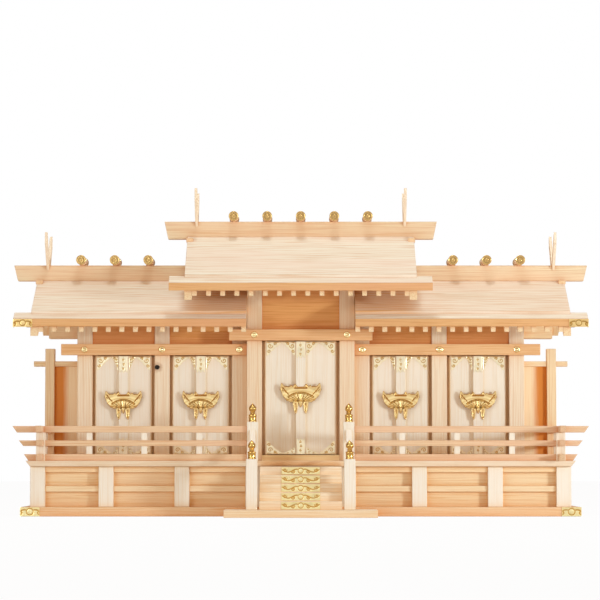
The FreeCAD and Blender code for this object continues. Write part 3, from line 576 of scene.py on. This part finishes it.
timber("wall_plates", tan_wood)
beam_wood = planed_wood("beam_cypress", (0.88, 0.58, 0.33), (0.74, 0.38, 0.16), (0.90, 0.50, 0.30))
timber("tie_beams", beam_wood, eased=0.0006)
stud_profile = [(0, 0, 0), (5.0, 0, 0), (5.0, 0.5, 0), (4.8, 0.9, 0), (4.4, 1.1, 0), (4.0, 0.9, 0),
                (3.7, 0.7, 0.15), (3.3, 0.7, 0.35), (2.9, 0.8, 0.35), (2.5, 0.8, 0.15), (2.3, 0.9, 0),
                (2.1, 1.4, 0), (1.7, 1.8, 0), (1.1, 2.1, 0), (0.5, 2.2, 0), (0, 2.2, 0)]
stud_profile = [tuple(value / 1000 for value in row) for row in stud_profile]
shell = bmesh.new()
centre_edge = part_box("centre_posts")[1].x
stud_low, stud_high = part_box("beam_studs")
post, doorway, stud_round, stud_proud = 0.024, 0.0984, 0.005, 0.0022
wing_z, centre_z = stud_low.z + stud_round, stud_high.z - stud_round
centre_face, wing_face = stud_low.y + stud_proud, stud_high.y
spots = [(centre_edge - post / 2, centre_face, centre_z)]
for number in range(3):
    spots.append((centre_edge + number * (post + doorway) + post / 2, wing_face, wing_z))
for x, y, z in spots:
    for side in (-1, 1):
        turned(shell, stud_profile, (side * x, y, z), (0, -1, 0), 32, 12)
stud_gilt = gilt("stud_gilding", (1.0, 0.86, 0.5), (0.55, 0.36, 0.1), 0.14)
finished(shell, "beam_studs_turned", stud_gilt, "root", ("beam_studs",))


# ---- Wall boards --------------------------------------------------------------------------
# Thin boards close the rooms: over the doorways, at the gable ends and across the back.

# The boards over the doorways take a deep orange that is partly their own colour and partly painted shade
# from the eaves above.
eave_shaded_wall_wood = planed_wood("eave_shaded_wall_cypress", (0.82, 0.43, 0.17), (0.66, 0.27, 0.07), (0.82, 0.37, 0.16))
timber("upper_walls", eave_shaded_wall_wood, eased=0.0002)
timber("side_walls", warm_wood, eased=0.0002)
timber("back_walls", warm_wood, eased=0.0002)


# ---- Thresholds, lintels, door leaves and their stops -------------------------------------
# Each doorway has a threshold and a lintel bored for the pivot pins of its two leaves. The
# right leaf carries a cover strip that laps over the left one. A thin stop is glued to each
# post just behind the leaves and closes the gap beside them.

door_wood = planed_wood("door_cypress", (0.97, 0.955, 0.93), (0.87, 0.78, 0.67), (0.95, 0.88, 0.83),
                        spacing=1.8)
sill_wood = planed_wood("sill_cypress", (1.0, 0.84, 0.56), (0.93, 0.66, 0.38), (0.98, 0.74, 0.50),
                        crease_shade=0.4)
timber("thresholds", sill_wood, eased=0.0003)
timber("lintels", tan_wood, eased=0.0003)
doors = ("left_outer", "left_inner", "centre", "right_inner", "right_outer")
stops = bmesh.new()
side_gap, stop_wide, stop_deep, pin_room = 0.004, 0.012, 0.004, 0.006
for door in doors:
    for side, hand in (("left", 1), ("right", -1)):
        timber(f"{door}_door_{side}_leaf", door_wood, f"{door}_{side}_leaf", eased=0.0004)
        low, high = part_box(f"{door}_door_{side}_leaf")
        post_face = (low.x if hand > 0 else high.x) - hand * side_gap
        middle = (post_face + hand * stop_wide / 2, high.y + stop_deep, (low.z + high.z) / 2)
        made = bmesh.ops.create_cube(stops, size=1)["verts"]
        bmesh.ops.scale(stops, verts=made, vec=(stop_wide, stop_deep, high.z - low.z - 2 * pin_room))
        bmesh.ops.translate(stops, verts=made, vec=middle)
stop_wood = planed_wood("stop_cypress", (0.96, 0.80, 0.62), (0.85, 0.60, 0.40), (0.95, 0.72, 0.56),
                        crease_shade=0.1)
worked(stops, "door_stops", [stop_wood], "root", 0.0004)


# ---- Gilt fittings of the doors -----------------------------------------------------------
# Corner plates of thin stamped brass at the head and foot of each leaf, and a small plate at
# each end of the cover strip, held by domed brass pins.

def corner_piece(corner, inward, upward, width, tall, face):
    """A corner plate: full height at the leaf's edge, running out in scallops along its end."""
    def edge(u):
        scallop = 0.1 * np.abs(np.sin(u * math.pi * 3.5)) * (1 - u)
        return tall * np.clip((1 - u) ** 1.35 * 0.9 + scallop + 0.13, 0.08, 1)

    def place(u, v):
        return facing_front(corner[0] + inward * width * u, face, corner[1] + upward * edge(u) * v)

    def relief(u, v):
        x, y = u * width * 1000, v * edge(u) * 1000
        wide, high = width * 1000, tall * 1000
        lines = [tendril(wide * 0.24, high * 0.3, high * 0.19, 0, 1.2, 1),
                 tendril(wide * 0.16, high * 0.68, high * 0.13, math.pi, 1.1, -1),
                 tendril(wide * 0.56, high * 0.17, high * 0.11, 0, 1.1, -1),
                 stem(np.linspace(0.5, wide * 0.95, 40), 0.6 + 0.5 * np.sin(np.linspace(0, 12, 40)))]
        away = np.minimum(np.minimum(x, wide - x), np.minimum(y, edge(u) * 1000 - y))
        rim = np.exp(-((away - 0.3) / 0.3) ** 2)
        return np.maximum(0.7 - 0.7 * raised_lines(x, y, lines, high * 0.032), rim)
    return place, relief


def strip_plate(middle, width, foot, tall, face, upward):
    """A plate on the end of the cover strip, its free end cut to an ogee."""
    def place(u, v):
        bow = 0.86 + 0.14 * np.abs(np.cos((u - 0.5) * math.pi * 2))
        return facing_front(middle + (u - 0.5) * width, face, foot + upward * tall * v * bow)

    def relief(u, v):
        x, y = (u - 0.5) * width * 1000, v * tall * 1000
        lines = [tendril(0, tall * 1000 * rise, 2.1, math.pi / 2, 1.1, hand)
                 for rise, hand in ((0.22, 1), (0.5, -1), (0.78, 1))]
        away = np.minimum(width * 500 - np.abs(x), np.minimum(y, tall * 1000 - y))
        return np.maximum(0.7 - 0.7 * raised_lines(x, y, lines, 0.55), np.exp(-((away - 0.35) / 0.3) ** 2))
    return place, relief


fitting_gilt = gilt("fitting_gilding", (1.0, 0.91, 0.68), (0.60, 0.36, 0.10), 0.26)
pin_gilt = gilt("pin_gilding", (0.90, 0.66, 0.30), (0.50, 0.30, 0.08), 0.2)
pin_profile = [(0, 0, 0), (0.00062, 0, 0), (0.00058, 0.00025, 0), (0.0004, 0.00046, 0),
               (0.0002, 0.00055, 0), (0, 0.00058, 0)]
leaf_thick, strip_half, edge_bare, margin = 0.006, 0.0075, 0.0032, 0.0006
strip_wide, inner_bare, pin_foot = 0.0125, 0.0085, 0.0004
for door in doors:
    for side, hand in (("left", 1), ("right", -1)):
        low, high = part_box(f"{door}_door_{side}_leaf")
        foot, head = low.z + pin_room, high.z - pin_room
        face = high.y - leaf_thick
        outer = low.x if hand > 0 else high.x
        meeting = high.x if hand > 0 else low.x + strip_half
        room = abs(meeting - outer) - inner_bare
        inner, outer_plate = outer + hand * room, outer + hand * edge_bare
        width = min(0.0235, room * 0.62)
        narrow = room - width - 0.0045
        plates = [corner_piece((outer_plate, foot + margin), hand, 1, width, 0.0205, face),
                  corner_piece((outer_plate, head - margin), hand, -1, width, 0.0215, face),
                  corner_piece((inner, head - margin), -hand, -1, narrow, 0.0215, face),
                  corner_piece((inner, foot + margin), -hand, 1, narrow, 0.010, face)]
        spots = []
        for start, end, inward, upward in ((outer_plate, foot, hand, 1), (outer_plate, head, hand, -1),
                                           (inner, head, -hand, -1)):
            spots += [(start + inward * over, face, end + upward * up)
                      for over, up in ((0.0016, 0.0022), (0.0016, 0.0165), (0.0105, 0.002))]
        if side == "right":
            middle = low.x + strip_half
            plates += [strip_plate(middle, strip_wide, foot + margin, 0.0245, low.y, 1),
                       strip_plate(middle, strip_wide, head - margin, 0.0255, low.y, -1)]
            spots += [(middle, low.y, end + upward * up)
                      for end, upward in ((foot, 1), (head, -1)) for up in (0.0022, 0.0205)]
        stamped(f"{door}_{side}_fittings", fitting_gilt, f"{door}_{side}_leaf",
                [put for put, _ in plates], [pattern for _, pattern in plates], 40, 26, 0.0002, 0.0005)
        pins = bmesh.new()
        for x, y, z in spots:
            turned(pins, pin_profile, (x, y - pin_foot, z), (0, -1, 0), 12)
        finished(pins, f"{door}_{side}_pins", pin_gilt, f"{door}_{side}_leaf", (), sharp=0.9)


# ---- Locks --------------------------------------------------------------------------------
# Each pair of doors is held by a boat-shaped lock of cast and chased brass: a bowl with curled
# ends and a slot for the bolt, over a fan of leaves. It is pinned to the cover strip.

def groove(x, z, height, half, width=0.55):
    """A line cut across the lock at a height that may follow a curve."""
    return np.exp(-((z - height) / width) ** 2) * (np.abs(x) < half)


def lock_form(node):
    """The outline and the chasing, drawn in mm for a lock 60 wide and 46 tall and then fitted."""
    low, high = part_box(node)
    middle, half, scale = (low.x + high.x) / 2, (high.x - low.x) / 2, (high.z - low.z) / 0.046

    def top(run):
        far = np.abs(run * 30)
        horn = 5.2 * np.exp(-((far - 27) / 2.4) ** 2)
        flame = 4.4 * np.exp(-((far - 8) / 2.2) ** 2) + 2.6 * np.exp(-((far - 13.6) / 1.5) ** 2)
        notch = 0.6 * np.abs(np.sin((far - 13) * 0.7)) * (far > 15)
        return 40.6 + horn + flame + notch - 9 * np.clip((far - 28) / 2, 0, 1) ** 2

    def bottom(run):
        far = np.abs(run * 30)
        hull = 16.5 + 21 * (far / 30) ** 4.6 + 1.1 * np.abs(np.sin(far * 0.62))
        leaf = 0.8 + 15 * (np.abs(far - 7.3) / 3.7) ** 2.3
        bud = 10 + 7 * (far / 2.5) ** 2
        return np.minimum(np.minimum(leaf, bud), hull)

    def place(u, v):
        run = u * 2 - 1
        z = (bottom(run) + (top(run) - bottom(run)) * v) / 1000 * scale
        return facing_front(middle + run * half, high.y, low.z + z)

    def relief(u, v):
        run = u * 2 - 1
        x, z = run * 30, bottom(run) + (top(run) - bottom(run)) * v
        bowl = np.sqrt(np.clip(1 - (x / 27) ** 2 - ((z - 24) / 10.5) ** 2, 0, 1))
        lip = np.exp(-((z - 36 + 0.012 * x ** 2) / 2.4) ** 2)
        leaves = np.exp(-((np.abs(x) - 7.3) / 2.2) ** 2) * (z < 18)
        cuts = groove(x, z, 38.6, 9.5, 0.8) + groove(x, z, 32.6 - 0.02 * x ** 2, 19, 0.5)
        cuts += groove(x, z, 30.8 - 0.02 * x ** 2, 17, 0.35)
        out = np.linspace(0, 1, 24)
        lines = []
        for lean in np.linspace(-66, 66, 11):
            sway, rise = math.sin(math.radians(lean)), math.cos(math.radians(lean))
            lines.append(stem(sway * (4 + 15 * out) * 1.2, 17.5 + rise * (1.5 + 10.5 * out)))
        for side in (-1, 1):
            lines.append(tendril(side * 24.6, 37.6, 3.2, -math.pi / 2, 0.62, side))
            lines += [stem(side * (17 + start + 5 * out), 27.5 + start + 7.5 * out ** 0.7)
                      for start in (0, 2.6, 5.2)]
            lines += [stem(side * (7.3 + bend * np.sin(out * 2.4)), 16.5 - 13 * out)
                      for bend in (-1.3, 0, 1.3)]
            lines.append(stem(side * (8 + 0.8 * np.sin(out * 3)), 39.5 + 4 * out))
        sunk = np.clip(cuts + raised_lines(x, z, lines, 0.42), 0, 1)
        edge = np.minimum(v, 1 - v) * (top(run) - bottom(run))
        rim = np.clip(edge / 1.1, 0.3, 1)
        swell = np.maximum(np.maximum(bowl, 0.75 * lip), 0.7 * leaves)
        return np.clip((0.5 + 0.5 * swell) * rim * (1 - 0.85 * sunk), 0, 1)
    return place, relief


lock_gilt = gilt("lock_gilding", (1.0, 0.79, 0.40), (0.48, 0.21, 0.03), 0.26)
for door in doors:
    put, pattern = lock_form(f"{door}_lock")
    stamped(f"{door}_lock_chased", lock_gilt, f"{door}_right_leaf", [put], [pattern],
            140, 84, 0.0004, 0.0021, (f"{door}_lock",))


# ---- Roofs --------------------------------------------------------------------------------
# Wide planed boards laid down both slopes over rafters, on eave boards that are tan with a pale
# upper face, and bargeboards up the gables. The shadow that the centre's eaves cast on the wing
# roofs is painted into the wing roofs' colour as a deeper orange.

def down_the_slope(degrees):
    """Grain that follows each slope of a pitched board."""
    pitch = math.radians(degrees)
    return lambda spot: (abs(spot.y) * math.cos(pitch) - spot.z * math.sin(pitch),
                         spot.z * math.cos(pitch) + abs(spot.y) * math.sin(pitch), spot.x)


roof_wood = planed_wood("roof_cypress", (0.95, 0.91, 0.85), (0.74, 0.53, 0.38), (0.94, 0.78, 0.72),
                        spacing=6.4)
# The wing roofs carry the centre eaves' shadow, painted in near the middle.
wing_roof_wood = planed_wood("wing_roof_cypress", (0.95, 0.90, 0.84), (0.72, 0.50, 0.34),
                             (0.94, 0.77, 0.69), spacing=6.4, shaded_within=0.178)
eave_wood = planed_wood("eave_cypress", (0.80, 0.49, 0.25), (0.64, 0.31, 0.12), (0.80, 0.42, 0.26))
for word in ("front", "rear"):
    timber(f"wing_roof_{word}", wing_roof_wood, eased=0.0006)
    timber(f"centre_roof_{word}", roof_wood, eased=0.0006)
    timber(f"rafters_{word}", warm_wood, eased=0.0003, lie=down_the_slope(33))
timber("bargeboards", warm_wood, eased=0.0006, lie=down_the_slope(33))
timber("eave_boards", eave_wood, eased=0.0006, top=roof_wood)


# ---- Gilt plates on the ends of the wing eaves --------------------------------------------
# Stamped and gilded sheet bent round the outer ends of the eave boards, as on the base.

def short_return(shape, keep=0.42):
    """The same place or pattern with the plate's side arm cut back."""
    return lambda u, v: shape(np.where(u > 0.5, 0.5 + (u - 0.5) * keep, u), v)


low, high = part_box("eave_end_plates")
face_tall, wing_pitch = 0.0125, math.radians(32)
rear_lift = (abs(low.y) - high.y) * math.tan(wing_pitch)
places = []
for x in (low.x + plate_thick, high.x - plate_thick):
    for y, foot in ((low.y + plate_thick, low.z), (high.y - plate_thick, low.z + rear_lift)):
        places.append(short_return(round_corner(x, y, corner_arm, foot + 0.0002, foot + face_tall)))
eave_gilt = gilt("eave_gilding", (0.95, 0.70, 0.32), (0.42, 0.21, 0.04), 0.2)
stamped("eave_end_plates_stamped", eave_gilt, "root", places,
        [short_return(corner_pattern(corner_arm, face_tall))] * 4, 96, 20, 0.0003, 0.0005,
        ("eave_end_plates",))


# ---- Ridges -------------------------------------------------------------------------------
# A tall ridge board stands along each roof with its ends raked, on a small saddle block at
# each gable. Slats rise forward and back from notches near the ends.

def rising(angle):
    """Grain along slats that rise to the front and to the rear."""
    slope = math.radians(angle)
    return lambda spot: (abs(spot.y) * math.cos(slope) + spot.z * math.sin(slope),
                         spot.z * math.cos(slope) - abs(spot.y) * math.sin(slope), spot.x)


ridge_wood = planed_wood("ridge_cypress", (0.88, 0.75, 0.57), (0.71, 0.45, 0.26), (0.86, 0.60, 0.43))
timber("ridge_boards", ridge_wood, eased=0.0007)
timber("ridge_saddles", tan_wood, eased=0.0004)
timber("ridge_finials", pale_wood, eased=0.0004, lie=rising(53.7))


# ---- Logs across the ridges ---------------------------------------------------------------
# Round logs, turned a little fuller in the middle, lie across the ridge boards. Each end has
# a gilded cap with a beaded rim and a flower of twelve petals.

cap_rings = [(7.35, -3.0, 0), (7.75, -3.0, 0), (7.75, -0.6, 0), (7.6, -0.2, 0), (7.2, 0, 0), (6.7, -0.1, 0),
             (6.3, -0.45, 0), (5.9, -0.5, 0.1), (4.9, -0.5, 0.4), (3.7, -0.45, 0.4), (2.7, -0.45, 0.15),
             (2.3, -0.4, 0), (2.1, -0.1, 0), (1.4, 0.0, 0), (0, 0.0, 0)]
cap_rings = [tuple(value / 1000 for value in row) for row in cap_rings]
logs, caps = bmesh.new(), bmesh.new()
grain = logs.verts.layers.float_vector.new("grain")
low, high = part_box("ridge_logs")
log_round, fuller, cap_proud = 0.00725, 0.00035, 0.003
wing_top, centre_top = low.z, high.z - 2 * log_round
spacing, half = 0.0535, high.y
rows = [(number * spacing, centre_top) for number in (-2, -1, 0, 1, 2)]
for number in range(3):
    rows += [(side * (high.x - log_round - number * spacing), wing_top) for side in (-1, 1)]
steps = [-1 + step / 6 for step in range(13)]
profile = [(log_round - fuller * along ** 2, half * along, 0) for along in steps]
for x, top in rows:
    before = set(logs.verts)
    turned(logs, [(0, -half, 0), *profile, (0, half, 0)], (x, 0, top + log_round), (0, 1, 0), 40)
    shift = Vector([random.uniform(-400, 400) for _ in range(3)])
    for corner in set(logs.verts) - before:
        corner[grain] = Vector((corner.co.y, corner.co.x, corner.co.z)) * 1000 + shift
    for facing in (-1, 1):
        turned(caps, cap_rings, (x, facing * (half + cap_proud), top + log_round), (0, facing, 0), 48, 12)
finished(logs, "ridge_logs_turned", post_wood, "root", ("ridge_logs",), sharp=0.9)
cap_gilt = gilt("cap_gilding", (0.70, 0.46, 0.18), (0.15, 0.07, 0.02), 0.16)
finished(caps, "log_caps_stamped", cap_gilt, "root", ("log_caps",), sharp=0.9)


# ---- Studio: floor, lamps and the photograph's view ---------------------------------------
# A white floor that keeps a faint shadow, a broad lamp in front on the left, a harder and
# stronger one well to the right, a small lamp above, a warm fill, and a dark wall at either
# side for the brass to mirror. The camera is far off, level with the floor board, and its lens
# is measured in pixels of the photo.

paper = Finish(bpy.data.materials.new("studio_floor"))
ray = paper.node("ShaderNodeLightPath", {}, {}, "Is Camera Ray")
matt = paper.node("ShaderNodeBsdfDiffuse", {}, {"Color": (0.92, 0.92, 0.92, 1)})
glow = paper.node("ShaderNodeEmission", {}, {"Color": (1, 1, 1, 1), "Strength": 1.0})
mixed = paper.node("ShaderNodeMixShader", {}, {0: ray * 0.96, 1: matt, 2: glow})
paper.node("ShaderNodeOutputMaterial", {}, {"Surface": mixed})
sheet = bpy.data.meshes.new("floor_sheet")
sheet.from_pydata([(-6, -6, 0), (6, -6, 0), (6, 6, 0), (-6, 6, 0)], [], [(0, 1, 2, 3)])
sheet.materials.append(paper.owner)
ground = bpy.data.objects.new("studio_floor", sheet)
bpy.context.collection.objects.link(ground)

world = bpy.data.worlds.new("studio")
bpy.context.scene.world = world
room = Finish(world)
seen = room.node("ShaderNodeLightPath", {}, {}, "Is Camera Ray")
through = room.node("ShaderNodeLightPath", {}, {}, "Is Transmission Ray")
mirrored = room.node("ShaderNodeLightPath", {}, {}, "Is Glossy Ray")
way = room.node("ShaderNodeTexCoord", {}, {}, "Generated")
aside = room.maths("ABSOLUTE", room.part(way, 0)).above(0.74, 0.1)
reflected = room.blend(aside, (0.95, 0.94, 0.92, 1), (0.16, 0.11, 0.08, 1))
tint = room.blend(mirrored, (0.50, 0.325, 0.175, 1), reflected)
white = room.blend(room.maths("MAXIMUM", seen, through), tint, (1, 1, 1, 1))
sky = room.node("ShaderNodeBackground", {}, {"Color": white, "Strength": 1.0})
room.node("ShaderNodeOutputWorld", {}, {"Surface": sky})

for name, place, size, power in (("left_lamp", (-1.7, -1.8, 0.45), 1.1, 13),
                                 ("right_lamp", (2.25, -1.35, 0.42), 0.3, 34.5),
                                 ("top_lamp", (0, -0.5, 2.1), 0.4, 9.2)):
    lamp = bpy.data.lights.new(name, "AREA")
    lamp.size, lamp.energy = size, power
    lamp.color = (0.87, 1.0, 0.99)
    stand = bpy.data.objects.new(name, lamp)
    stand.location = place
    stand.rotation_mode = "QUATERNION"
    stand.rotation_quaternion = (Vector((0, 0, 0.2)) - Vector(place)).to_track_quat("-Z", "Y")
    bpy.context.collection.objects.link(stand)

lens_pixels, picture_pixels, raised_pixels = 2382, 600, 160
camera = bpy.data.cameras.new("camera")
camera.sensor_width, camera.lens = 36, 36 * lens_pixels / picture_pixels
camera.clip_start, camera.clip_end = 0.1, 30
viewer = bpy.data.objects.new("camera", camera)
viewer.location = (-0.0011, -3.805, 0.087)
viewer.rotation_euler = (math.radians(90) + math.atan(raised_pixels / lens_pixels), 0, 0)
bpy.context.collection.objects.link(viewer)
bpy.context.scene.camera = viewer
bpy.context.scene.view_settings.view_transform = "Standard"
